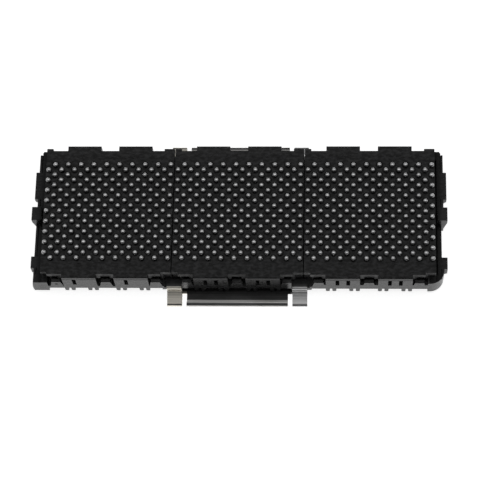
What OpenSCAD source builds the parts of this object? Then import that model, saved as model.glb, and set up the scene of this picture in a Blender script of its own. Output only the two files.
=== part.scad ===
// Three-module board-to-board receptacle with a ball grid array of solder balls.
// It lies on its sheet-metal pick-up cover: mating face down, solder balls up.
// X runs along the three modules, Y from front to back, Z up from the cover's underside.

/* [Contact grid] */
// Distance between neighbouring contacts of one row
col_pitch = 1.75; // [1.7:0.05:2.4]
// Distance between neighbouring rows of one kind
row_pitch = 1.5; // [1.4:0.05:2.2]
// Contacts in each row of a module
cols = 10; // [9:1:13]
// Signal rows in each module, with a ground row between each two
signal_rows = 10; // [7:1:13]
// Gap between neighbouring modules
module_gap = 0.12; // [0.06:0.02:0.5]

/* [Solder balls] */
// Diameter of a solder ball
ball_d = 0.72; // [0.5:0.02:0.8]
// Height that is melted flat onto the contact's tail
ball_melt = 0.05; // [0.02:0.01:0.15]
// Gap between a ball and the rim of its pocket
pocket_gap = 0.13; // [0.05:0.01:0.16]
// Depth of the pocket round each ball
pocket_depth = 0.12; // [0.05:0.01:0.3]

/* [Ball plate] */
// Thickness of the plate that carries the balls
plate_t = 0.85; // [0.6:0.05:1.5]
// Plate beyond the outermost row
plate_margin = 2.13; // [1.8:0.01:3]
// Reach of the front lip past the plate's back edge, mirrored
lip_reach = 0.15; // [0.05:0.01:0.25]
// Reach of the wide tabs past the plate's back edge
tab_reach = 0.67; // [0.45:0.01:0.9]
// Distance from the module's side to its nearer tab
tab_inset = 2.98; // [2.6:0.02:3.4]
// Width of the notch between the two tabs
notch_w = 2.42; // [2.3:0.02:3]
// Chamfer along the outer edges of the front tabs
tab_cut = 0.12; // [0.05:0.01:0.2]
// How far the tabs lie to the right of the plate's middle
tab_shift = -0.09; // [-0.15:0.01:0.15]
// How far the strips along the plate's sides are set back
strip_shift = 0.3; // [0.1:0.01:0.4]
// Width of the strip along the plate's left side
left_strip_w = 0.85; // [0.4:0.05:1.2]
// Width of the strip along the plate's right side
right_strip_w = 1.4; // [0.6:0.05:1.6]
// Diameter of the ejector marks in the plate's margin
mark_d = 0.7; // [0.3:0.05:1]
// Depth of the ejector marks
mark_depth = 0.06; // [0.02:0.01:0.2]

/* [Legs and blocks] */
// Width of the legs that stand down beside the tab seats
leg_w = 0.5; // [0.3:0.01:0.6]
// Thickness of the legs
leg_t = 0.38; // [0.25:0.01:0.5]
// Height of the legs' ends above the blocks
leg_lift = 0.15; // [0.05:0.05:0.4]
// Play between the legs and the frame
leg_play = 0.05; // [0.03:0.01:0.1]
// Width of the corner legs
corner_leg_w = 0.45; // [0.3:0.01:0.6]
// Height of the corner legs' ends above the low wall
corner_leg_lift = 0.55; // [0.3:0.05:1]
// Gap between the corner legs and the frame's corner blocks
corner_leg_gap = 0.05; // [0.03:0.01:0.3]
// Height of the blocks on the low wall
block_h = 1.5; // [0.6:0.05:1.8]
// Width of a block at its foot
block_foot_w = 1.75; // [1.3:0.05:1.9]
// Width of a block at its top
block_top_w = 1.2; // [0.6:0.05:1.3]
// Height of the raised floor between the blocks and seats in front of the right module
slot_floor_h = 0.7; // [0.3:0.05:1]
// Diameter of the ejector mark in the front left block
block_mark_d = 0.4; // [0.2:0.05:0.6]
// Depth of that mark
block_mark_depth = 0.08; // [0.03:0.01:0.15]

/* [Contact housing] */
// Height from the mating face to the ball plate
housing_h = 4.55; // [4.2:0.05:6]
// Housing beyond the outermost row
housing_margin = 1.5; // [1.3:0.05:1.6]
// Width of a mating slot
slot_w = 0.5; // [0.4:0.02:0.6]
// Depth of a mating slot
slot_depth = 3.1; // [2.4:0.05:3.6]
// Slot beyond the outermost row
slot_end = 0.4; // [0.3:0.02:0.5]
// Depth of the windows in the housing's front and back faces, behind the frame's blocks
window_d = 0.5; // [0.2:0.05:0.7]

/* [Contacts] */
// Thickness of the contact strip
contact_t = 0.15; // [0.1:0.01:0.2]
// Width of a contact
contact_w = 0.4; // [0.3:0.02:0.5]
// Clearance of a contact in its retention hole
contact_fit = 0.01; // [0.005:0.005:0.03]
// Room round the spring beam in its cavity
beam_room = 0.06; // [0.04:0.01:0.1]
// How far the contact point stands into the slot
bump_in = 0.12; // [0.05:0.01:0.18]
// Height of the contact point above the mating face
bump_lift = 1.15; // [0.9:0.05:1.8]
// Height of the contact's tip above the mating face
tip_lift = 0.5; // [0.3:0.05:0.8]

/* [Frame] */
// Step of the frame's face in front of the tabs
face_step = 0.01; // [0:0.01:0.2]
// Clearance between the frame and the contact housings
housing_fit = 0.05; // [0.03:0.01:0.1]
// Clearance between the frame's ends and the modules
side_gap = 0.3; // [0.05:0.01:0.4]
// Height of the ledge along the foot of the end walls, next to the modules
end_ledge_h = 0.5; // [0.2:0.05:0.7]
// Thickness of the frame's end walls
side_wall = 0.88; // [0.8:0.02:2]
// Height of the frame's lower edge above the mating face
wall_lift = 1.45; // [1.1:0.05:1.6]
// Height of the low wall between the tab seats
wall_h = 0.75; // [0.7:0.05:1.2]
// Height of the end walls and corner blocks
end_h = 2.05; // [1.8:0.05:2.4]
// How far the right corner blocks reach along the long walls, from the end wall's inner face
foot_reach = 1.32; // [0.8:0.01:1.4]
// How much less the left corner blocks reach
foot_short = 0.28; // [0:0.02:0.5]
// Height of the feet above the mating face
foot_lift = 0.5; // [0.2:0.05:0.6]
// Radius of the polarising corner
key_r = 1.9; // [1:0.1:2.4]
// Width of the rim outside the groove in the end walls
rim_w = 0.28; // [0.2:0.02:0.35]
// Width of the groove in the end walls
rim_groove_w = 0.14; // [0.08:0.02:0.25]
// Depth of the groove in the end walls
rim_groove_d = 0.4; // [0.1:0.05:0.8]
// How far the front left foot flares out past the end wall
foot_flare = 0.3; // [0.1:0.02:0.4]
// Chamfer of the front left foot
corner_cut = 0.18; // [0.05:0.01:0.3]
// How far the rim stops short of the back corners
rim_end_gap = 0.5; // [0.2:0.05:0.8]

/* [Front and back detail] */
// Width of the slits in each tab seat
slit_w = 0.5; // [0.3:0.05:0.7]
// Height of the slits
slit_h = 1.8; // [1:0.05:2.4]
// Depth of the slits
slit_d = 0.6; // [0.3:0.05:0.9]
// Distance between the two slits of a seat
slit_pitch = 1.44; // [1.1:0.02:1.8]
// Width of the half-round nubs under the seats
nub_w = 0.55; // [0.4:0.01:0.7]
// Thickness of the nubs
nub_t = 0.5; // [0.3:0.05:0.7]
// Distance between the two nubs of a pair
nub_pitch = 0.875; // [0.8:0.005:1]
// Distance between the two pairs of a seat
nub_pair_pitch = 3.15; // [2.4:0.05:3.2]
// Height of the nubs above the mating face
nub_lift = 0.5; // [0.3:0.01:0.7]

/* [Side detail] */
// How far the ribs, lugs and posts stand out from the end walls
side_reach = 0.43; // [0.2:0.01:0.8]
// Length of the long rib
rib_l = 3.95; // [2:0.05:4.2]
// Middle of the long rib, from the part's middle
rib_y = 4.5; // [4:0.05:5]
// Length of the short lug
lug_l = 1.65; // [0.8:0.05:2]
// Middle of the short lug, from the part's middle
lug_y = 6.65; // [6.2:0.05:6.9]
// Length of the tall key post
post_l = 1.9; // [1:0.05:2.2]
// Middle of the key post, in front of the part's middle
post_y = 0.25; // [0:0.05:0.5]
// Height of the key post above the end wall
post_h = 1.7; // [1:0.05:1.85]
// Height of the upright faces of ribs and posts
side_face_h = 0.85; // [0.5:0.05:1]
// Height of the taper under the ribs
side_taper_h = 0.7; // [0.3:0.05:1]
// Height of the upright faces of the lugs
lug_face_h = 1.65; // [0.5:0.05:1.7]
// Height of the taper under the lugs
lug_taper_h = 0.3; // [0.1:0.05:0.35]
// Height of the taper under the key posts
post_taper_h = 2.1; // [1:0.05:2.5]
// Depth of the relief between post and lug in the right end wall
relief_d = 0.3; // [0.1:0.02:0.4]

/* [Pick-up cover] */
// Thickness of the cover's sheet
cover_t = 0.2; // [0.12:0.02:0.3]
// Reach of the cover past the frame's front and back
cover_reach = 2.14; // [1.5:0.02:3]
// Inside radius of the folds along its edges
fold_r = 0.1; // [0.05:0.01:0.2]
// Slope of the fingers' leaves where they leave the fold
leaf_slope = 13; // [6:1:20]
// How much steeper the leaves are at their upper ends
leaf_curl = 14; // [6:1:24]
// Slope of the tongue's folded hem
hem_slope = 8; // [2:1:20]
// Length of the tongue's folded hem
hem_l = 0.32; // [0.2:0.02:0.8]
// Width of a latch finger
finger_w = 2; // [1.2:0.05:2.2]
// Slot between a finger and the tongue
finger_slot = 0.62; // [0.3:0.02:1]
// Gap between the slots' roots and the frame's face
slot_root_gap = 0.25; // [0.1:0.05:0.6]
// Play between the fingers and the frame
finger_play = 0.08; // [0.05:0.01:0.15]
// How far a finger hooks over its sill
hook_l = 0.5; // [0.3:0.05:0.8]
// Height of the sill under the finger's hook
sill_h = 0.8; // [0.6:0.05:1]
// How far the sill stands below the frame's lower edge
sill_drop = 0.5; // [0.2:0.05:0.6]
// How far the sill runs on past the recess
sill_over = 0.24; // [0.1:0.02:0.4]
// Finger recess towards the part's middle, from the seam
recess_in = 1.44; // [1.3:0.02:1.6]
// Finger recess towards the part's ends, from the seam
recess_out = 1; // [0.9:0.05:1.2]
// How far the cover and its recesses lie to the right of the part's middle
cover_shift = -0.18; // [-0.2:0.02:0.2]

/* [Hidden] */

// Curves are drawn with this many segments
$fn = 48;
// Cutting bodies run this far past the faces they cut
over = 0.5;

plastic = [0.12, 0.12, 0.125];
inner_plastic = [0.16, 0.16, 0.165];
steel = [0.72, 0.73, 0.75];
gold = [0.86, 0.7, 0.36];
tin = [0.76, 0.77, 0.78];

// Levels, from the cover's underside up
mate_z = cover_t;
seat_z = mate_z + housing_h;
top_z = seat_z + plate_t;
pocket_z = top_z - pocket_depth;
slot_z = mate_z + slot_depth;
wall_z = mate_z + wall_lift;
low_z = wall_z + wall_h;
end_z = wall_z + end_h;
ledge_z = wall_z + end_ledge_h;
block_z = low_z + block_h;
sill_foot_z = wall_z - sill_drop;
sill_z = sill_foot_z + sill_h;
foot_z = mate_z + foot_lift;
nub_z = mate_z + nub_lift;
post_z = end_z + post_h;

// Half lengths from front to back
rows_y = (signal_rows - 1) * row_pitch / 2;
slot_y = rows_y + slot_end;
housing_y = rows_y + housing_margin;
inner_y = housing_y + housing_fit;
plate_y = rows_y + plate_margin;
front_y = plate_y + lip_reach;
tab_y = plate_y + tab_reach;
frame_y = tab_y + face_step;
block_y = front_y + leg_play;
cover_y = frame_y + cover_reach;

// Positions along the modules
module_w = cols * col_pitch;
module_pitch = module_w + module_gap;
seam_x = module_pitch / 2;
inner_x = module_pitch + module_w / 2 + side_gap;
ledge_x = inner_x - side_gap + housing_fit;
frame_x = inner_x + side_wall;
side_x = frame_x + side_reach;
tab_w = (module_w - notch_w) / 2 - tab_inset;
tab_x = (notch_w + tab_w) / 2;
tab_out_x = notch_w / 2 + tab_w;
block_xs = [for (side = [-1 : 1]) side * (tab_out_x + leg_play + block_foot_w / 2)];
foot_x = inner_x - foot_reach;
corner_leg_x = foot_x - corner_leg_gap - module_pitch;
recess_x = seam_x - recess_in;
finger_x = recess_x + finger_play;
tongue_x = finger_x - finger_slot;
cover_x = finger_x + finger_w;
left_x = -module_pitch;
middle_x = 0;
right_x = module_pitch;
module_xs = [left_x, middle_x, right_x];

// Places of the slits in the back seats of each module, and in the front seats, in slit pitches
both_slits = [-0.5, 0.5];
back_slits = [both_slits, both_slits, both_slits];
front_slits = [[-0.5], both_slits, both_slits];

// Contact columns and rows, from the middle of a module
column_shift = col_pitch / 4;
slot_xs = [for (i = [0 : cols - 1]) (i - (cols - 1) / 2) * col_pitch];
signal_ys = [for (j = [0 : signal_rows - 1]) j * row_pitch - rows_y];
ground_ys = [for (j = [0 : signal_rows - 2]) (j + 0.5) * row_pitch - rows_y];

// A box from one corner to the other
module span(low, high) {
    translate(low) cube(high - low);
}

// Its children at the back and, mirrored, at the front
module both_faces() {
    children();
    mirror([0, 1, 0]) children();
}

// Its children on the right and, mirrored, on the left
module both_ends() {
    children();
    mirror([1, 0, 0]) children();
}

// Its children at the place of each signal contact of the module at x
module at_signals(x) {
    for (sx = slot_xs, y = signal_ys) translate([x + sx, y, 0]) children();
}

// Its children, turned to face the other way, at the place of each ground contact
module at_grounds(x) {
    for (sx = slot_xs, y = ground_ys) translate([x + sx, y, 0]) mirror([1, 0, 0]) children();
}

// Solder ball, melted flat where it sits on the contact's tail
module ball() {
    translate([column_shift, 0, pocket_z]) difference() {
        translate([0, 0, ball_d / 2 - ball_melt]) sphere(d = ball_d);
        span([-ball_d, -ball_d, -ball_d], [ball_d, ball_d, 0]);
    }
}

// Stamped contact: a straight tail and a spring beam that bows into the slot
module contact() {
    half_t = contact_t / 2;
    bump_x = slot_w / 2 - bump_in + half_t;
    tip_x = slot_w / 2 + half_t;
    line = [
        [column_shift, pocket_z],
        [column_shift, slot_z],
        [bump_x, mate_z + bump_lift],
        [tip_x, mate_z + tip_lift]
    ];
    near = [for (p = line) p - [half_t, 0]];
    far = [for (i = [len(line) - 1 : -1 : 0]) line[i] + [half_t, 0]];
    translate([0, contact_w / 2, 0]) rotate([90, 0, 0]) linear_extrude(contact_w) polygon(concat(near, far));
}

// Hole that holds a contact's tail
module tail_hole() {
    hole_t = contact_t + 2 * contact_fit;
    hole_w = contact_w + 2 * contact_fit;
    translate([column_shift - hole_t / 2, -hole_w / 2, slot_z - over])
        cube([hole_t, hole_w, top_z - slot_z + over]);
}

// Plan of the cavity beside the slot that a spring beam moves in
module beam_cavity() {
    cavity_w = contact_w + 2 * beam_room;
    translate([0, -cavity_w / 2]) square([column_shift + contact_t / 2 + beam_room, cavity_w]);
}

// Plan of one mating slot with its beam cavities
module slot_plan() {
    translate([-slot_w / 2, -slot_y]) square([slot_w, 2 * slot_y]);
    for (y = signal_ys) translate([0, y]) beam_cavity();
    for (y = ground_ys) translate([0, y]) mirror([1, 0]) beam_cavity();
}

// Mating-side block of the module at x, with its slots and contact holes
module contact_housing(x) {
    half_w = module_w / 2;
    half_top = block_top_w / 2;
    window_y = housing_y - window_d;
    color(inner_plastic) difference() {
        translate([x, 0, 0]) span([-half_w, -housing_y, mate_z], [half_w, housing_y, seat_z]);
        translate([x + tab_shift, 0, 0]) both_faces() for (bx = block_xs)
            span([bx - half_top, window_y, low_z], [bx + half_top, housing_y + over, seat_z + over]);
        for (sx = slot_xs) translate([x + sx, 0, mate_z - over])
            linear_extrude(slot_depth + over) slot_plan();
        at_signals(x) tail_hole();
        at_grounds(x) tail_hole();
    }
}

// Plan of the ball plate with its tabs and the set-back strips along its sides
module plate_plan() {
    half_w = module_w / 2;
    field_w = module_w - left_strip_w - right_strip_w;
    plate_l = front_y + plate_y;
    translate([left_strip_w - half_w, -front_y]) square([field_w, plate_l]);
    for (sx = [-tab_x, tab_x]) translate([tab_shift + sx - tab_w / 2, -tab_y]) square([tab_w, 2 * tab_y]);
    translate([-half_w, strip_shift - front_y]) square([left_strip_w, plate_l]);
    translate([half_w - right_strip_w, strip_shift - front_y]) square([right_strip_w, plate_l]);
}

// Leg under the ball plate, with its outer face and its end given
module leg(x0, x1, face_y, leg_z) {
    span([x0, face_y - leg_t, leg_z], [x1, face_y, seat_z + plate_t / 2]);
}

// Legs at the back of a ball plate: two beside each tab, and one at each corner
module legs(face_y, corner_y) {
    notch_x = notch_w / 2 - leg_play;
    tab_side_x = tab_out_x + leg_play;
    translate([tab_shift, 0, 0]) both_ends() {
        leg(notch_x - leg_w, notch_x, face_y, block_z + leg_lift);
        leg(tab_side_x, tab_side_x + leg_w, face_y, block_z + leg_lift);
    }
    both_ends() leg(corner_leg_x - corner_leg_w, corner_leg_x, corner_y, low_z + corner_leg_lift);
}

// Ball-side plate of the module at x, with a pocket for each ball
module ball_plate(x) {
    pocket_d = ball_d + 2 * pocket_gap;
    mark_y = (rows_y + plate_y) / 2;
    color(plastic) difference() {
        translate([x, 0, 0]) {
            translate([0, 0, seat_z]) linear_extrude(plate_t) plate_plan();
            legs(plate_y, plate_y);
            mirror([0, 1, 0]) legs(front_y, front_y - strip_shift);
        }
        at_signals(x) tail_hole();
        at_grounds(x) tail_hole();
        at_signals(x) translate([column_shift, 0, pocket_z]) cylinder(d = pocket_d, h = pocket_depth + over);
        at_grounds(x) translate([column_shift, 0, pocket_z]) cylinder(d = pocket_d, h = pocket_depth + over);
        translate([x + tab_shift, 0, 0]) both_faces() for (sx = [-tab_x, tab_x])
            translate([sx, mark_y, top_z - mark_depth]) cylinder(d = mark_d, h = mark_depth + over);
        for (sx = [-tab_x, tab_x]) translate([x + tab_shift + sx, -tab_y, top_z]) tab_edge();
    }
}

// Cut along the outer edge of a front tab
module tab_edge() {
    cut_w = tab_cut * sqrt(2);
    rotate([45, 0, 0]) cube([tab_w + 2 * over, cut_w, cut_w], center = true);
}

// All signal contacts of the module at x
module signal_contacts(x) {
    color(gold) at_signals(x) contact();
}

// All ground contacts of the module at x
module ground_contacts(x) {
    color(gold) at_grounds(x) contact();
}

// All solder balls on the signal contacts of the module at x
module signal_balls(x) {
    color(tin) at_signals(x) ball();
}

// All solder balls on the ground contacts of the module at x
module ground_balls(x) {
    color(tin) at_grounds(x) ball();
}

// Block on the low wall between two tab seats, with sloping sides
module wall_block() {
    outline = [
        [-block_foot_w / 2, low_z - over],
        [block_foot_w / 2, low_z - over],
        [block_foot_w / 2, low_z],
        [block_top_w / 2, block_z],
        [-block_top_w / 2, block_z],
        [-block_foot_w / 2, low_z]
    ];
    translate([0, frame_y, 0]) rotate([90, 0, 0]) linear_extrude(frame_y - block_y) polygon(outline);
}

// Half-round nub at the lower edge of the long wall
module nub() {
    translate([0, frame_y, 0]) rotate([90, 0, 0]) linear_extrude(nub_t) {
        translate([0, nub_z + nub_w / 2]) circle(d = nub_w);
        translate([-nub_w / 2, nub_z + nub_w / 2]) square([nub_w, wall_z - nub_z]);
    }
}

// Seats under one module's tabs at the back wall, with their nubs, and the blocks between them
module tab_seats() {
    for (bx = block_xs) translate([bx, 0, 0]) wall_block();
    for (sx = [-tab_x, tab_x]) translate([sx, 0, 0]) {
        span([-tab_w / 2, inner_y, low_z - over], [tab_w / 2, frame_y, seat_z]);
        for (pair = [-0.5, 0.5], one = [-0.5, 0.5])
            translate([pair * nub_pair_pitch + one * nub_pitch, 0, 0]) nub();
    }
}

// Raised floor between the blocks and seats in front of the right module
module slot_floors() {
    start_x = right_x + tab_shift - tab_out_x - over;
    span([start_x, -frame_y, low_z - over], [foot_x + over, -block_y, low_z + slot_floor_h]);
}

// Slits in the tab seats of all modules at the back wall, at the places given for each module
module seat_slits(places) {
    low = [-slit_w / 2, frame_y - slit_d, seat_z - slit_h];
    high = [slit_w / 2, frame_y + over, seat_z + over];
    for (i = [0 : len(module_xs) - 1], sx = [-tab_x, tab_x], one = places[i])
        translate([module_xs[i] + tab_shift + sx + one * slit_pitch, 0, 0]) span(low, high);
}

// Ejector mark in the front face of the leftmost block
module block_mark() {
    translate([left_x + tab_shift + block_xs[0], block_mark_depth - frame_y, low_z + block_h / 2])
        rotate([90, 0, 0]) cylinder(d = block_mark_d, h = over);
}

// Bar along an end wall, upright below its top and then tapered back to the wall
module end_bar(y, bar_l, bar_top, face_h, taper_h) {
    face_z = bar_top - face_h;
    profile = [
        [inner_x, bar_top],
        [side_x, bar_top],
        [side_x, face_z],
        [frame_x, face_z - taper_h],
        [inner_x, face_z - taper_h]
    ];
    translate([0, y + bar_l / 2, 0]) rotate([90, 0, 0]) linear_extrude(bar_l) polygon(profile);
}

// End wall on the right, with its two corner blocks and their feet, which start at the given x
module end_wall(start_x) {
    past_y = frame_y + over;
    groove_x = frame_x - rim_w;
    difference() {
        span([start_x, -frame_y, wall_z], [frame_x, frame_y, end_z]);
        span([groove_x - rim_groove_w, -past_y, end_z - rim_groove_d], [groove_x, past_y, end_z + over]);
        span([groove_x, frame_y - rim_end_gap, wall_z - over], [frame_x + over, past_y, end_z + over]);
    }
    both_faces() span([start_x, inner_y, foot_z], [frame_x, frame_y, wall_z + over]);
}

// Moulded frame round the three modules
module frame() {
    color(plastic) difference() {
        union() {
            span([-frame_x, -frame_y, wall_z], [frame_x, frame_y, low_z]);
            both_faces() {
                for (x = module_xs) translate([x + tab_shift, 0, 0]) tab_seats();
                translate([cover_shift, 0, 0]) both_ends() finger_sill();
            }
            end_wall(foot_x);
            mirror([1, 0, 0]) end_wall(foot_x + foot_short);
            both_ends() {
                end_bar(rib_y, rib_l, end_z, side_face_h, side_taper_h);
                end_bar(-lug_y, lug_l, end_z, lug_face_h, lug_taper_h);
                end_bar(-post_y, post_l, post_z, side_face_h, post_taper_h);
            }
            slot_floors();
            front_left_foot();
        }
        span([-inner_x, -inner_y, ledge_z], [inner_x, inner_y, post_z + over]);
        span([-ledge_x, -inner_y, foot_z - over], [ledge_x, inner_y, post_z + over]);
        both_faces() translate([cover_shift, 0, 0]) both_ends() finger_recess();
        seat_slits(back_slits);
        mirror([0, 1, 0]) seat_slits(front_slits);
        block_mark();
        end_relief();
        polarising_corner();
        front_left_corner();
    }
}

// Sill of a finger recess, which stands a little below the long wall
module finger_sill() {
    span([recess_x, inner_y, sill_foot_z], [seam_x + recess_out + sill_over, frame_y, wall_z + over]);
}

// Opening in the long wall at a seam, down to the sill that a finger hooks over
module finger_recess() {
    span([recess_x, inner_y - over, sill_z], [seam_x + recess_out, frame_y + over, block_z + over]);
}

// Shallow relief in the right end wall, from its key post to its lug
module end_relief() {
    front = lug_l / 2 - lug_y;
    back = -post_y - post_l / 2;
    span([frame_x - relief_d, front, foot_z - over], [frame_x + over, back, end_z + over]);
}

// Cut that rounds the front right corner
module polarising_corner() {
    round_x = frame_x - key_r;
    round_y = key_r - frame_y;
    difference() {
        span([round_x, -frame_y - over, foot_z - over], [frame_x + over, round_y, end_z + over]);
        translate([round_x, round_y, 0]) cylinder(r = key_r, h = end_z + 2 * over);
    }
}

// Flare of the front left foot: out from the end wall's top to the frame's lower edge, then upright
module front_left_foot() {
    flare_x = -frame_x - foot_flare;
    profile = [
        [-inner_x, end_z],
        [-frame_x, end_z],
        [flare_x, wall_z],
        [flare_x, foot_z],
        [-inner_x, foot_z]
    ];
    translate([0, -inner_y, 0]) rotate([90, 0, 0]) linear_extrude(frame_y - inner_y) polygon(profile);
}

// Cut that takes the edge off the front left foot
module front_left_corner() {
    cut_w = corner_cut * sqrt(2);
    translate([-frame_x - foot_flare, -frame_y, foot_z - over]) rotate(45)
        translate([-cut_w / 2, -cut_w / 2, 0]) cube([cut_w, cut_w, end_z + 2 * over]);
}

// Points along a sheet's middle line after a bend, each with its heading
function bend(start, turn, r, steps = 8) =
    let (
        side = sign(turn),
        centre = [start[0] - side * r * sin(start[2]), start[1] + side * r * cos(start[2])]
    )
    [for (i = [1 : steps]) let (a = start[2] + turn * i / steps)
        [centre[0] + side * r * sin(a), centre[1] - side * r * cos(a), a]];

// Point that a straight run ends at, with its heading
function run(start, length) =
    [start[0] + length * cos(start[2]), start[1] + length * sin(start[2]), start[2]];

// Last point of a path
function tip(path) = path[len(path) - 1];

// Plate edge folded up and back to the given slope, from the slots' roots outwards
fold_mid_r = fold_r + cover_t / 2;
fold_start = [cover_y - fold_r - cover_t, cover_t / 2, 0];
function fold(slope) = concat(
    [[frame_y - over, cover_t / 2, 0], fold_start],
    bend(fold_start, 180 - slope, fold_mid_r)
);
hem_fold = fold(hem_slope);
hem_path = concat(hem_fold, [run(tip(hem_fold), hem_l)]);

// Finger: a leaf that curves back to the wall, then up in front of the sill and over it
finger_mid_y = frame_y + finger_play + cover_t / 2;
hook_mid_z = sill_z + finger_play + cover_t / 2;
leaf_end_slope = leaf_slope + leaf_curl;
leaf_end_y = finger_mid_y + fold_mid_r * (1 - sin(leaf_end_slope));
leaf_fold = fold(leaf_slope);
leaf_r = (tip(leaf_fold)[0] - leaf_end_y) / (sin(leaf_end_slope) - sin(leaf_slope));
leaf_path = concat(leaf_fold, bend(tip(leaf_fold), -leaf_curl, leaf_r));
rise_path = concat(leaf_path, bend(tip(leaf_path), leaf_end_slope - 90, fold_mid_r));
upright_path = concat(rise_path, [run(tip(rise_path), hook_mid_z - fold_mid_r - tip(rise_path)[1])]);
crest_path = concat(upright_path, bend(tip(upright_path), 90, fold_mid_r));
finger_path = concat(crest_path, [run(tip(crest_path), tip(crest_path)[0] - frame_y + hook_l)]);

// Strip of sheet along a path, between two places across the cover
module strip(path, x0, x1) {
    outside = [for (p = path) [p[0] + sin(p[2]) * cover_t / 2, p[1] - cos(p[2]) * cover_t / 2]];
    inside = [for (i = [len(path) - 1 : -1 : 0]) let (p = path[i])
        [p[0] - sin(p[2]) * cover_t / 2, p[1] + cos(p[2]) * cover_t / 2]];
    translate([x0, 0, 0]) rotate([90, 0, 90]) linear_extrude(x1 - x0) polygon(concat(outside, inside));
}

// Sheet-metal cover clipped under the middle module
module pickup_cover() {
    root_y = frame_y + slot_root_gap;
    color(steel) translate([cover_shift, 0, 0]) {
        span([-cover_x, -root_y, 0], [cover_x, root_y, cover_t]);
        both_faces() {
            strip(hem_path, -tongue_x, tongue_x);
            both_ends() strip(finger_path, finger_x, cover_x);
        }
    }
}

frame();
pickup_cover();
ball_plate(left_x);  // left_ball_plate
ball_plate(middle_x);  // middle_ball_plate
ball_plate(right_x);  // right_ball_plate
contact_housing(left_x);  // left_contact_housing
contact_housing(middle_x);  // middle_contact_housing
contact_housing(right_x);  // right_contact_housing
signal_contacts(left_x);  // left_signal_contacts
signal_contacts(middle_x);  // middle_signal_contacts
signal_contacts(right_x);  // right_signal_contacts
ground_contacts(left_x);  // left_ground_contacts
ground_contacts(middle_x);  // middle_ground_contacts
ground_contacts(right_x);  // right_ground_contacts
signal_balls(left_x);  // left_signal_balls
signal_balls(middle_x);  // middle_signal_balls
signal_balls(right_x);  // right_signal_balls
ground_balls(left_x);  // left_ground_balls
ground_balls(middle_x);  // middle_ground_balls
ground_balls(right_x);  // right_ground_balls
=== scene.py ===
"""Looks of a three-module board-to-board receptacle that lies with its solder balls up."""

import math
import random

import bmesh
import bpy
from mathutils import Matrix, Vector, noise


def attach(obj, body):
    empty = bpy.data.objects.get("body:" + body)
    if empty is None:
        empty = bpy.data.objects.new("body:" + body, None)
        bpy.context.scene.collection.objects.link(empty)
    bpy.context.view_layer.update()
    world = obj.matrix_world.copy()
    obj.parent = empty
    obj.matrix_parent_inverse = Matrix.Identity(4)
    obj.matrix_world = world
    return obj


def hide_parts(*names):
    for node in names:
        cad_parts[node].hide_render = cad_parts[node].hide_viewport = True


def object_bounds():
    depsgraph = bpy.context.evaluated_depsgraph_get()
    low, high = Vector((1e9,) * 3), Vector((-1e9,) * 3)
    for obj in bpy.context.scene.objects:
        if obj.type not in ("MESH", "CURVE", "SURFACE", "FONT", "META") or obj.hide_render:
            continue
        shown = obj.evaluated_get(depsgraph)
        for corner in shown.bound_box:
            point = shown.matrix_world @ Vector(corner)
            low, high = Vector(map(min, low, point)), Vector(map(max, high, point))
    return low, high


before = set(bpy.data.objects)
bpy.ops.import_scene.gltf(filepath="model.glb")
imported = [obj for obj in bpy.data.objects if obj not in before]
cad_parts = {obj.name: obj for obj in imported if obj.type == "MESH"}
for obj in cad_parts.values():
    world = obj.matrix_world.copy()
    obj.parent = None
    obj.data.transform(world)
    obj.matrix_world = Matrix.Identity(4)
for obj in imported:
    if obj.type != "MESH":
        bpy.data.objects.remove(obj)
cad_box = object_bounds()

MM = 0.001
SIDES = ("left", "middle", "right")
KINDS = ("signal", "ground")

# Camera, fitted to the photograph: angles in degrees, lengths in millimetres
CAMERA_ELEVATION = 68.608
CAMERA_YAW = -8.548
CAMERA_ROLL = 7.842
CAMERA_RANGE = 260.23
CAMERA_AIM = (0.335, -4.288, 6.05)
CAMERA_LENS = 146.37
CAMERA_SENSOR = 36.0
CAMERA_NEAR = 10


def add_camera():
    """Camera at the photograph's viewing angle."""
    elevation = math.radians(CAMERA_ELEVATION)
    yaw = math.radians(CAMERA_YAW)
    side = Vector((math.cos(yaw), -math.sin(yaw), 0))
    ahead = Vector((math.sin(yaw), math.cos(yaw), 0))
    zenith = Vector((0, 0, 1))
    forward = ahead * math.cos(elevation) - zenith * math.sin(elevation)
    up = ahead * math.sin(elevation) + zenith * math.cos(elevation)
    roll = Matrix.Rotation(math.radians(CAMERA_ROLL), 3, "Z").inverted()
    turn = Matrix((side, up, -forward)).transposed() @ roll
    data = bpy.data.cameras.new("camera")
    data.lens = CAMERA_LENS
    data.sensor_width = CAMERA_SENSOR
    data.clip_start = CAMERA_NEAR * MM
    camera = bpy.data.objects.new("camera", data)
    bpy.context.scene.collection.objects.link(camera)
    place = Vector(CAMERA_AIM) * MM - forward * CAMERA_RANGE * MM
    camera.matrix_world = Matrix.Translation(place) @ turn.to_4x4()
    bpy.context.scene.camera = camera


# Studio: places and sizes in millimetres, with the panels aimed at the part
FLOOR_BOX = ((-2000, -2000), (2000, 2000))
FLOOR_DROP = 0.02
FLOOR_TONE = (0.82, 0.82, 0.82, 1)
FLOOR_GLOW = 0.86
BACKDROP_HEIGHT = 120
BACKDROP_GLOW = 1.0
WHITE = (1.0, 1.0, 1.0, 1)
WORLD_LEVEL = 0.012
PANELS = {
    "top": {"place": (0, 34, 559), "size": (1000, 441), "level": 0.7},
    "rear": {"place": (0, 367, 423), "size": (1000, 321), "level": 0.3},
    "back": {"place": (0, 560, 190), "size": (1000, 330), "level": 0.16},
    "front": {"place": (0, -293, 477), "size": (1000, 269), "level": 0.1},
    "left": {"place": (-520, 60, 300), "size": (520, 420), "level": 0.25},
    "right": {"place": (520, 60, 300), "size": (520, 420), "level": 0.25},
}


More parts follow.
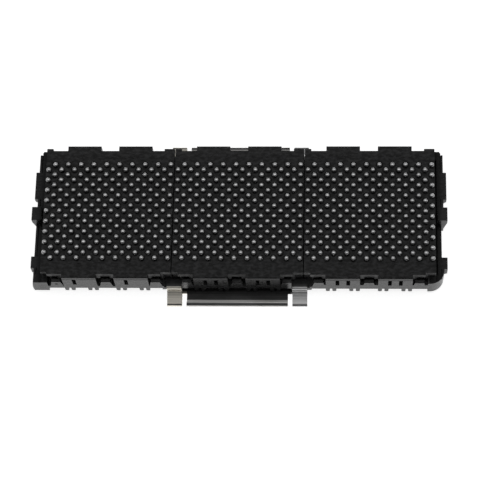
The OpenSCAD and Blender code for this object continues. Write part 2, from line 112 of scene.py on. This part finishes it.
def add_panel(name, place, size, level):
    """Soft light panel that faces the part, and looks white at a level of 1."""
    data = bpy.data.lights.new(name, "AREA")
    data.shape = "RECTANGLE"
    data.size = size[0] * MM
    data.size_y = size[1] * MM
    data.energy = level * math.pi * data.size * data.size_y
    panel = bpy.data.objects.new(name, data)
    bpy.context.scene.collection.objects.link(panel)
    panel.location = Vector(place) * MM
    panel.rotation_euler = (-panel.location).to_track_quat("-Z", "Y").to_euler()


def add_world():
    """Even, dim surround."""
    world = bpy.data.worlds.new("surround")
    bpy.context.scene.world = world
    world.use_nodes = True
    background = world.node_tree.nodes["Background"]
    background.inputs["Color"].default_value = WHITE
    background.inputs["Strength"].default_value = WORLD_LEVEL


# Blurred edge between two zones of one material, in millimetres
ZONE_BLUR = 0.08
# Range of a noise or a share that a ramp covers
NOISE_RANGE = (0.3, 0.7)
NARROW_RANGE = (0.4, 0.6)
FULL_RANGE = (0.0, 1.0)


def grey(tone):
    """Colour without a hue."""
    return (tone, tone, tone)


class Material:
    """Node material with one Principled shader."""

    def __init__(self, name):
        self.data = bpy.data.materials.new(name)
        self.data.use_nodes = True
        self.tree = self.data.node_tree
        self.shader = self.tree.nodes["Principled BSDF"]
        self.place = self.add("ShaderNodeTexCoord").outputs["Object"]

    def add(self, kind, **settings):
        node = self.tree.nodes.new(kind)
        for key, value in settings.items():
            setattr(node, key, value)
        return node

    def link(self, source, target):
        self.tree.links.new(source, target)

    def set(self, **values):
        """Sets the shader's own sockets, with an underscore for each space in their names."""
        for key, value in values.items():
            self.shader.inputs[key.replace("_", " ")].default_value = value

    def along(self, axis):
        """Place along one axis."""
        node = self.add("ShaderNodeSeparateXYZ")
        self.link(self.place, node.inputs["Vector"])
        return node.outputs[axis]

    def away(self, axis):
        """Distance from the part's middle along one axis."""
        return self.math("ABSOLUTE", self.along(axis))

    def noise(self, grain, detail=3.0, rough=0.5, stretch=(1, 1, 1)):
        """Noise whose features are about grain millimetres across."""
        mapping = self.add("ShaderNodeMapping")
        mapping.inputs["Scale"].default_value = [1 / (grain * MM * s) for s in stretch]
        self.link(self.place, mapping.inputs["Vector"])
        node = self.add("ShaderNodeTexNoise")
        node.inputs["Scale"].default_value = 1.0
        node.inputs["Detail"].default_value = detail
        node.inputs["Roughness"].default_value = rough
        self.link(mapping.outputs["Vector"], node.inputs["Vector"])
        return node.outputs["Fac"]

    def ramp(self, fac, low, high, span=NOISE_RANGE):
        """Colour that goes from low to high as fac rises through a span."""
        node = self.add("ShaderNodeValToRGB")
        for element, position, color in zip(node.color_ramp.elements, span, (low, high)):
            element.position = position
            element.color = (*color, 1)
        self.link(fac, node.inputs["Fac"])
        return node.outputs["Color"]

    def spread(self, fac, low, high, span=NOISE_RANGE):
        """Number that goes from low to high as fac rises through a span."""
        node = self.add("ShaderNodeMapRange")
        node.inputs["From Min"].default_value, node.inputs["From Max"].default_value = span
        node.inputs["To Min"].default_value = low
        node.inputs["To Max"].default_value = high
        self.link(fac, node.inputs["Value"])
        return node.outputs["Result"]

    def math(self, operation, first, second=None):
        """Result of an operation on one or two numbers."""
        node = self.add("ShaderNodeMath", operation=operation)
        self.link(first, node.inputs[0])
        if second is not None:
            self.link(second, node.inputs[1])
        return node.outputs["Value"]

    def past(self, length, limit):
        """Share that goes from 0 to 1 as a length passes a limit."""
        return self.spread(length, 0.0, 1.0, (limit, limit + ZONE_BLUR * MM))

    def within(self, length, limit):
        """Share that goes from 1 to 0 as a length reaches a limit."""
        return self.spread(length, 1.0, 0.0, (limit - ZONE_BLUR * MM, limit))

    def mix(self, fac, first, second, blend="MIX"):
        """Blend of two colours."""
        node = self.add("ShaderNodeMix", data_type="RGBA", blend_type=blend)
        if isinstance(fac, float):
            node.inputs["Factor"].default_value = fac
        else:
            self.link(fac, node.inputs["Factor"])
        self.link(first, node.inputs["A"])
        self.link(second, node.inputs["B"])
        return node.outputs["Result"]

    def paler(self, color, share, tone):
        """Colour with a grey tone added where the share is 1."""
        return self.mix(1.0, color, self.ramp(share, grey(0.0), grey(tone), FULL_RANGE), "ADD")

    def darker(self, color, fac, tone, span):
        """Colour that is dimmed to a tone where fac lies below a span."""
        return self.mix(1.0, color, self.ramp(fac, grey(tone), grey(1.0), span), "MULTIPLY")

    def scale(self, color, factor):
        """Colour times a number."""
        node = self.add("ShaderNodeVectorMath", operation="SCALE")
        self.link(color, node.inputs[0])
        self.link(factor, node.inputs["Scale"])
        return node.outputs["Vector"]

    def bump(self, height, strength, depth, under=None):
        """Fine relief, depth millimetres deep."""
        node = self.add("ShaderNodeBump")
        node.inputs["Strength"].default_value = strength
        node.inputs["Distance"].default_value = depth * MM
        self.link(height, node.inputs["Height"])
        if under is not None:
            self.link(under, node.inputs["Normal"])
        return node.outputs["Normal"]

    def surface(self, color, roughness, normal):
        """Finished material with these on its shader."""
        self.link(color, self.shader.inputs["Base Color"])
        self.link(roughness, self.shader.inputs["Roughness"])
        self.link(normal, self.shader.inputs["Normal"])
        return self.data


def reach(node, axis):
    """How far a CAD node reaches along an axis."""
    return max(corner["XYZ".index(axis)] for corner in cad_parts[node].bound_box)


# Moulded plastics, with grain in millimetres, and relief as its strength and its depth in millimetres
PLASTIC_IOR = 1.5
CLOUD_GRAIN = 2.4
FLOW_GRAIN = 0.4
FLOW_STRETCH = (1.8, 1, 1)
FLOW_RANGE = (0.4, 0.65)
FLOW_SHARE = 0.5
FIBRE_GRAIN = 0.09
FIBRE_STRETCH = (3, 1, 1)
FIBRE_RANGE = (0.62, 0.8)
FIBRE_GAIN = 2.5
SKIN_GRAIN = 0.06
SKIN_RELIEF = (0.25, 0.012)
WAVE_GRAIN = 0.45
WAVE_RELIEF = (0.8, 0.02)
FRAME_LOOK = {
    "dark": (0.020, 0.020, 0.0205),
    "light": (0.028, 0.028, 0.0285),
    "marks": 1.6,
    "roughness": (0.24, 0.34),
    "sheen": 0.25,
}
PLATE_LOOK = {
    "dark": (0.002, 0.002, 0.0021),
    "light": (0.014, 0.014, 0.0144),
    "marks": 5.0,
    "roughness": (0.4, 0.5),
    "sheen": 0.52,
}
# The housings' plastic is paler than the frame's: painted light that lifts the shade of the recesses where
# they show
HOUSING_LOOK = {
    "dark": (0.050, 0.050, 0.051),
    "light": (0.062, 0.062, 0.063),
    "marks": 1.6,
    "roughness": (0.36, 0.5),
    "sheen": 0.5,
}


def plastic(name, dark, light, marks, roughness, sheen, zones=None):
    """Glass-filled moulding: near black, with fine grain, flow marks, paler fibre specks and any zones of
    painted light and shade.
    """
    m = Material(name)
    m.set(IOR=PLASTIC_IOR, Specular_Tint=(*grey(sheen), 1))
    cloud = m.noise(CLOUD_GRAIN, detail=4.0)
    flow = m.noise(FLOW_GRAIN, detail=2.0, stretch=FLOW_STRETCH)
    fibre = m.noise(FIBRE_GRAIN, detail=2.0, stretch=FIBRE_STRETCH)
    body = m.ramp(cloud, dark, light)
    streak = m.ramp(flow, dark, [marks * c for c in light], FLOW_RANGE)
    speck = m.ramp(fibre, grey(0.0), [FIBRE_GAIN * c for c in light], FIBRE_RANGE)
    color = m.mix(1.0, m.mix(FLOW_SHARE, body, streak), speck, "ADD")
    if zones:
        color = zones(m, color)
    wave = m.bump(m.noise(WAVE_GRAIN, detail=2.0), *WAVE_RELIEF)
    skin = m.bump(m.noise(SKIN_GRAIN, rough=0.6), *SKIN_RELIEF, under=wave)
    return m.surface(color, m.spread(flow, *roughness), skin)


# Painted highlight along the back of the ball plates, in millimetres from their back edge
RIM_START = 0.9
RIM_END = 1.5
RIM_PAINTED_HIGHLIGHT = 0.008


def back_edge_painted_highlight(m, color):
    """Colour of the ball plates with a painted highlight along their back edge."""
    edge = reach("left_ball_plate", "Y")
    highlight_share = m.spread(m.along("Y"), 0.0, 1.0, (edge - RIM_END * MM, edge - RIM_START * MM))
    # Paler strip near the back edge: painted highlight
    return m.paler(color, highlight_share, RIM_PAINTED_HIGHLIGHT)


# Painted light that pales the inside of the frame, and painted shade across its end walls, in millimetres
# from its outer faces
CORE_FACE = 0.06
CORE_END = 2.4
CORE_PAINTED_LIGHT = 0.06
END_IN = 1.55
END_OUT = 0.6
END_PAINTED_SHADE = (0.0, 1.3)


def ring_with_painted_light_and_shade(m, color):
    """Colour of the frame with painted light that pales its inside, and painted shade on its end walls
    that is black at their inner edge.
    """
    end = reach("frame", "X")
    face = reach("frame", "Y")
    along = m.away("X")
    inside = m.within(m.away("Y"), face - CORE_FACE * MM)
    painted_light_zone = m.math("MINIMUM", m.within(along, end - CORE_END * MM), inside)
    # Painted light in the frame's slits, seats and inner faces
    color = m.paler(color, painted_light_zone, CORE_PAINTED_LIGHT)
    # Painted shade across the end walls: black next to the ball plates, paler towards the outer faces
    painted_shade = m.spread(along, *END_PAINTED_SHADE, (end - END_IN * MM, end - END_OUT * MM))
    return m.mix(m.within(along, end - END_IN * MM), m.scale(color, painted_shade), color)


# Zones of the cover's steel, in millimetres from its middle, its outer edge and its underside
FINGER_START = 7.0
HOOK_START = 2.22
HEM_START = 1.03
TONGUE_FOLD = 0.5
FINGER_FOLD = 0.3
FOLD_END = 0.16
UNDERSIDE = 0.06

# Finish of the cover's steel, and its painted shade, as its two limits where it varies
HEM_TONES = ((0.75, 0.74, 0.71), (0.83, 0.82, 0.81))
FINGER_TONES = ((0.92, 0.88, 0.79), (0.80, 0.80, 0.80))
# Painted shade on the flat tongue in front of the middle module
TONGUE_PAINTED_SHADE_TONES = (grey(0.08), grey(0.12))
# Painted shade on the hooks' inner part under the frame and along the outer folds
HOOK_AND_FOLD_PAINTED_SHADE_TONES = (grey(0.10), grey(0.15))
STAIN_GRAIN = 3.0
LINE_GRAIN = 0.26
LINE_STRETCH = (60, 1, 1)
LINE_TONE = 0.7
LINE_RELIEF = (0.1, 0.004)
STEEL_ROUGHNESS = (0.4, 0.48)


def rolled_steel(name):
    """Satin rolled strip, with painted shade beside the frame, at its hooks and along its folds."""
    m = Material(name)
    m.set(Metallic=1.0)
    lines = m.noise(LINE_GRAIN, rough=0.6, stretch=LINE_STRETCH)
    stain = m.noise(STAIN_GRAIN)
    edge = reach("pickup_cover", "Y")
    out = m.away("Y")
    finger = m.past(m.away("X"), FINGER_START * MM)
    hem = m.past(out, edge - HEM_START * MM)
    hook_shade_zone = m.math("SUBTRACT", finger, m.past(out, edge - HOOK_START * MM))
    shift = m.spread(finger, 0.0, (FINGER_FOLD - TONGUE_FOLD) * MM, FULL_RANGE)
    folding = m.past(m.math("ADD", out, shift), edge - TONGUE_FOLD * MM)
    fold_shade_zone = m.math("SUBTRACT", folding, m.past(out, edge - FOLD_END * MM))
    top = m.past(m.along("Z"), UNDERSIDE * MM)
    tongue_shade_zone = m.math("SUBTRACT", top, m.math("MAXIMUM", hem, finger))
    side = m.spread(m.along("X"), 0.0, 1.0, (-FINGER_START * MM, FINGER_START * MM))
    color = m.mix(finger, m.ramp(stain, *HEM_TONES), m.ramp(side, *FINGER_TONES, FULL_RANGE))
    # Painted shade on the flat tongue between the hem and the fingers
    color = m.mix(tongue_shade_zone, color, m.ramp(stain, *TONGUE_PAINTED_SHADE_TONES))
    # Painted shade at the hooks and along the outer folds
    color = m.mix(m.math("MAXIMUM", hook_shade_zone, fold_shade_zone), color, m.ramp(stain, *HOOK_AND_FOLD_PAINTED_SHADE_TONES))
    color = m.darker(color, lines, LINE_TONE, NARROW_RANGE)
    return m.surface(color, m.spread(lines, *STEEL_ROUGHNESS), m.bump(lines, *LINE_RELIEF))


# Finish of the solder: its grain in millimetres, and flanks below the balls' tops that are rougher and
# darkened with painted shade
PATCH_GRAIN = 0.35
PATCH_TONES = ((0.76, 0.77, 0.78), (0.98, 0.98, 0.98))
PATCH_ROUGHNESS = (0.34, 0.26)
FROST_GRAIN = 0.05
FROST_TONES = ((0.70, 0.70, 0.71), (0.98, 0.98, 0.98))
FROST_SHARE = 0.4
FROST_RELIEF = (0.2, 0.006)
DULL_GRAIN = 1.1
DULL_TONE = 0.85
FLANK_START = 0.09
FLANK_END = 0.26
FLANK_PAINTED_SHADE = 0.26
FLANK_ROUGH = 0.2


def solder(name):
    """Reflowed solder: satin, with a frosted grain, patches of duller skin, and rougher flanks darkened
    with painted shade.
    """
    m = Material(name)
    m.set(Metallic=1.0)
    patch = m.noise(PATCH_GRAIN)
    frost = m.noise(FROST_GRAIN, rough=0.65)
    top = reach("left_signal_balls", "Z")
    unshaded_top = m.spread(m.along("Z"), 0.0, 1.0, (top - FLANK_END * MM, top - FLANK_START * MM))
    color = m.mix(FROST_SHARE, m.ramp(patch, *PATCH_TONES), m.ramp(frost, *FROST_TONES))
    color = m.darker(color, m.noise(DULL_GRAIN, detail=1.0), DULL_TONE, NARROW_RANGE)
    # Painted shade on the flanks below the balls' tops
    color = m.darker(color, unshaded_top, FLANK_PAINTED_SHADE, FULL_RANGE)
    dull = m.spread(unshaded_top, FLANK_ROUGH, 0.0, FULL_RANGE)
    roughness = m.math("ADD", m.spread(patch, *PATCH_ROUGHNESS), dull)
    return m.surface(color, roughness, m.bump(frost, *FROST_RELIEF))


# Finish of the contacts
GOLD_GRAIN = 0.6
GOLD_TONES = ((0.80, 0.58, 0.24), (0.92, 0.72, 0.36))
STAMP_GRAIN = 0.04
STAMP_STRETCH = (1, 1, 20)
STAMP_TONES = ((0.70, 0.50, 0.20), (0.95, 0.76, 0.40))
STAMP_SHARE = 0.3
STAMP_RELIEF = (0.15, 0.004)
GOLD_ROUGHNESS = (0.18, 0.34)


def gold_plate(name):
    """Gold flash over the stamped contacts."""
    m = Material(name)
    m.set(Metallic=1.0)
    lines = m.noise(STAMP_GRAIN, stretch=STAMP_STRETCH)
    tone = m.noise(GOLD_GRAIN, detail=2.0)
    color = m.mix(STAMP_SHARE, m.ramp(tone, *GOLD_TONES), m.ramp(lines, *STAMP_TONES))
    return m.surface(color, m.spread(lines, *GOLD_ROUGHNESS), m.bump(lines, *STAMP_RELIEF))


def studio_white(name, level):
    """Pale matt surface that looks white and still takes the part's shadow."""
    m = Material(name)
    m.set(Roughness=1.0, Specular_IOR_Level=0.0, Base_Color=FLOOR_TONE, Emission_Color=WHITE)
    rays = m.add("ShaderNodeLightPath").outputs
    seen = m.math("MAXIMUM", rays["Is Camera Ray"], rays["Is Glossy Ray"])
    seen = m.math("MAXIMUM", seen, rays["Is Transmission Ray"])
    m.link(m.spread(seen, 0.0, level, FULL_RANGE), m.shader.inputs["Emission Strength"])
    return m.data


def add_floor():
    """Plain floor under the part, with a low backdrop round its edge."""
    (left, front), (right, back) = [(x * MM, y * MM) for x, y in FLOOR_BOX]
    corners = [(left, front), (right, front), (right, back), (left, back)]
    points = [(x, y, z) for z in (0, BACKDROP_HEIGHT * MM) for x, y in corners]
    walls = [(i, (i + 1) % 4, (i + 1) % 4 + 4, i + 4) for i in range(4)]
    mesh = bpy.data.meshes.new("floor")
    mesh.from_pydata(points, [], [(0, 1, 2, 3), *walls])
    mesh.materials.append(studio_white("floor", FLOOR_GLOW))
    mesh.materials.append(studio_white("backdrop", BACKDROP_GLOW))
    mesh.polygons.foreach_set("material_index", [0] + [1] * len(walls))
    floor = bpy.data.objects.new("floor", mesh)
    floor.location.z = cad_box[0][2] - FLOOR_DROP * MM
    bpy.context.scene.collection.objects.link(floor)


# Edges of the moulded and stamped pieces: lengths in millimetres, the angle in degrees
WELD = 0.0001
EDGE_ANGLE = 35
EDGE_STEPS = 2
MOULD_EDGE = 0.03
SHEET_EDGE = 0.02


def smooth_curves():
    """Node group that shades a mesh smooth, apart from its sharp edges."""
    group = bpy.data.node_groups.new("smooth_curves", "GeometryNodeTree")
    group.interface.new_socket("Geometry", in_out="INPUT", socket_type="NodeSocketGeometry")
    group.interface.new_socket("Geometry", in_out="OUTPUT", socket_type="NodeSocketGeometry")
    start = group.nodes.new("NodeGroupInput")
    end = group.nodes.new("NodeGroupOutput")
    angle = group.nodes.new("GeometryNodeInputMeshEdgeAngle")
    sharp = group.nodes.new("FunctionNodeCompare")
    sharp.inputs["B"].default_value = math.radians(EDGE_ANGLE)
    faces = group.nodes.new("GeometryNodeSetShadeSmooth")
    edges = group.nodes.new("GeometryNodeSetShadeSmooth")
    edges.domain = "EDGE"
    edges.inputs["Shade Smooth"].default_value = False
    links = ((start.outputs[0], faces.inputs["Geometry"]),
             (faces.outputs[0], edges.inputs["Geometry"]),
             (angle.outputs["Unsigned Angle"], sharp.inputs["A"]),
             (sharp.outputs["Result"], edges.inputs["Selection"]),
             (edges.outputs[0], end.inputs[0]))
    for source, target in links:
        group.links.new(source, target)
    return group


def soften(piece, edge, smooth):
    """Smooth curves and a small rounding on a piece's edges."""
    weld = piece.modifiers.new("weld", "WELD")
    weld.merge_threshold = WELD * MM
    curves = piece.modifiers.new("curves", "NODES")
    curves.node_group = smooth
    bevel = piece.modifiers.new("edge", "BEVEL")
    bevel.width = edge * MM
    bevel.segments = EDGE_STEPS
    bevel.limit_method = "ANGLE"
    bevel.angle_limit = math.radians(EDGE_ANGLE)
    flats = piece.modifiers.new("flats", "WEIGHTED_NORMAL")
    flats.keep_sharp = True


def dress(node, finish, edge=None, smooth=None):
    """Gives a CAD node its finish and its softened edges."""
    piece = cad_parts[node]
    piece.data.materials.clear()
    piece.data.materials.append(finish)
    if edge:
        soften(piece, edge, smooth)


# Solder balls, each a little different, as they freeze: shares of the radius
BALL_RINGS = 14
BALL_SPOKES = 22
BALL_SEED = 11
BALL_SQUASH = 0.03
BALL_SAG = 0.1
BALL_LUMP = 0.012
BALL_LUMP_SIZE = 0.45
BALL_LUMP_SHIFT = 100


def ball_seats(node):
    """Middle, radius and lowest level of each ball of a CAD node."""
    bm = bmesh.new()
    bm.from_mesh(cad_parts[node].data)
    bmesh.ops.remove_doubles(bm, verts=bm.verts, dist=WELD * MM)
    waiting = set(bm.verts)
    seats = []
    while waiting:
        stack = [waiting.pop()]
        island = []
        while stack:
            vert = stack.pop()
            island.append(vert.co.copy())
            for edge in vert.link_edges:
                other = edge.other_vert(vert)
                if other in waiting:
                    waiting.remove(other)
                    stack.append(other)
        xs, ys, zs = zip(*island)
        radius = (max(xs) - min(xs)) / 2
        middle = Vector(((max(xs) + min(xs)) / 2, (max(ys) + min(ys)) / 2, max(zs) - radius))
        seats.append((middle, radius, min(zs)))
    bm.free()
    return sorted(seats, key=lambda seat: (round(seat[0].y, 6), round(seat[0].x, 6)))


def ball_point(direction, middle, radius, bottom, squash, shift):
    """Point of a ball's skin in one direction: flattened and lumpy, never outside the true sphere."""
    lump = noise.noise(direction / BALL_LUMP_SIZE + shift)
    length = radius * (1 - BALL_LUMP * (0.5 + lump))
    point = Vector((direction.x * squash[0], direction.y * squash[1], direction.z * squash[2])) * length
    point += middle
    point.z = max(point.z, bottom)
    return point


def ball_skin(seat, chance):
    """Points of one ball, ring by ring from its top."""
    squash = [1 - BALL_SQUASH * chance.random() for axis in "xyz"]
    squash[2] -= BALL_SAG
    shift = Vector([BALL_LUMP_SHIFT * chance.random() for axis in "xyz"])
    points = []
    for ring in range(BALL_RINGS + 1):
        polar = math.pi * ring / BALL_RINGS
        flat = math.sin(polar)
        for spoke in range(BALL_SPOKES):
            turn = 2 * math.pi * spoke / BALL_SPOKES
            direction = Vector((flat * math.cos(turn), flat * math.sin(turn), math.cos(polar)))
            points.append(ball_point(direction, *seat, squash, shift))
    return points


def ball_faces(first):
    """Faces of one ball whose points start at a number."""
    faces = []
    for ring in range(BALL_RINGS):
        start = first + ring * BALL_SPOKES
        for spoke in range(BALL_SPOKES):
            a = start + spoke
            b = start + (spoke + 1) % BALL_SPOKES
            faces.append((a, a + BALL_SPOKES, b + BALL_SPOKES, b))
    return faces


def add_balls(node, name, finish):
    """Solder balls that stand for a CAD node's."""
    chance = random.Random(BALL_SEED)
    verts = []
    faces = []
    for seat in ball_seats(node):
        faces += ball_faces(len(verts))
        verts += ball_skin(seat, chance)
    mesh = bpy.data.meshes.new(name)
    mesh.from_pydata(verts, [], faces)
    bm = bmesh.new()
    bm.from_mesh(mesh)
    bmesh.ops.remove_doubles(bm, verts=bm.verts, dist=WELD * MM)
    bmesh.ops.dissolve_degenerate(bm, edges=bm.edges, dist=WELD * MM)
    bm.to_mesh(mesh)
    bm.free()
    mesh.polygons.foreach_set("use_smooth", [True] * len(mesh.polygons))
    mesh.materials.append(finish)
    piece = bpy.data.objects.new(name, mesh)
    bpy.context.scene.collection.objects.link(piece)
    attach(piece, "root")
    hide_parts(node)


def dress_part():
    """Finish of every piece."""
    frame_plastic = plastic("frame_plastic", **FRAME_LOOK, zones=ring_with_painted_light_and_shade)
    plate_plastic = plastic("plate_plastic", **PLATE_LOOK, zones=back_edge_painted_highlight)
    housing_plastic = plastic("housing_plastic", **HOUSING_LOOK)
    cover_steel = rolled_steel("cover_steel")
    contact_metal = gold_plate("contact_metal")
    solder_metal = solder("solder")
    smooth = smooth_curves()
    dress("frame", frame_plastic, MOULD_EDGE, smooth)
    dress("pickup_cover", cover_steel, SHEET_EDGE, smooth)
    for side in SIDES:
        dress(f"{side}_ball_plate", plate_plastic, MOULD_EDGE, smooth)
        dress(f"{side}_contact_housing", housing_plastic, MOULD_EDGE, smooth)
        for kind in KINDS:
            dress(f"{side}_{kind}_contacts", contact_metal)
            dress(f"{side}_{kind}_balls", solder_metal)
            add_balls(f"{side}_{kind}_balls", f"{side}_{kind}_solder", solder_metal)


add_camera()
add_floor()
add_world()
for panel_name, panel in PANELS.items():
    add_panel(panel_name, **panel)
dress_part()

bpy.context.scene.view_settings.view_transform = "Standard"
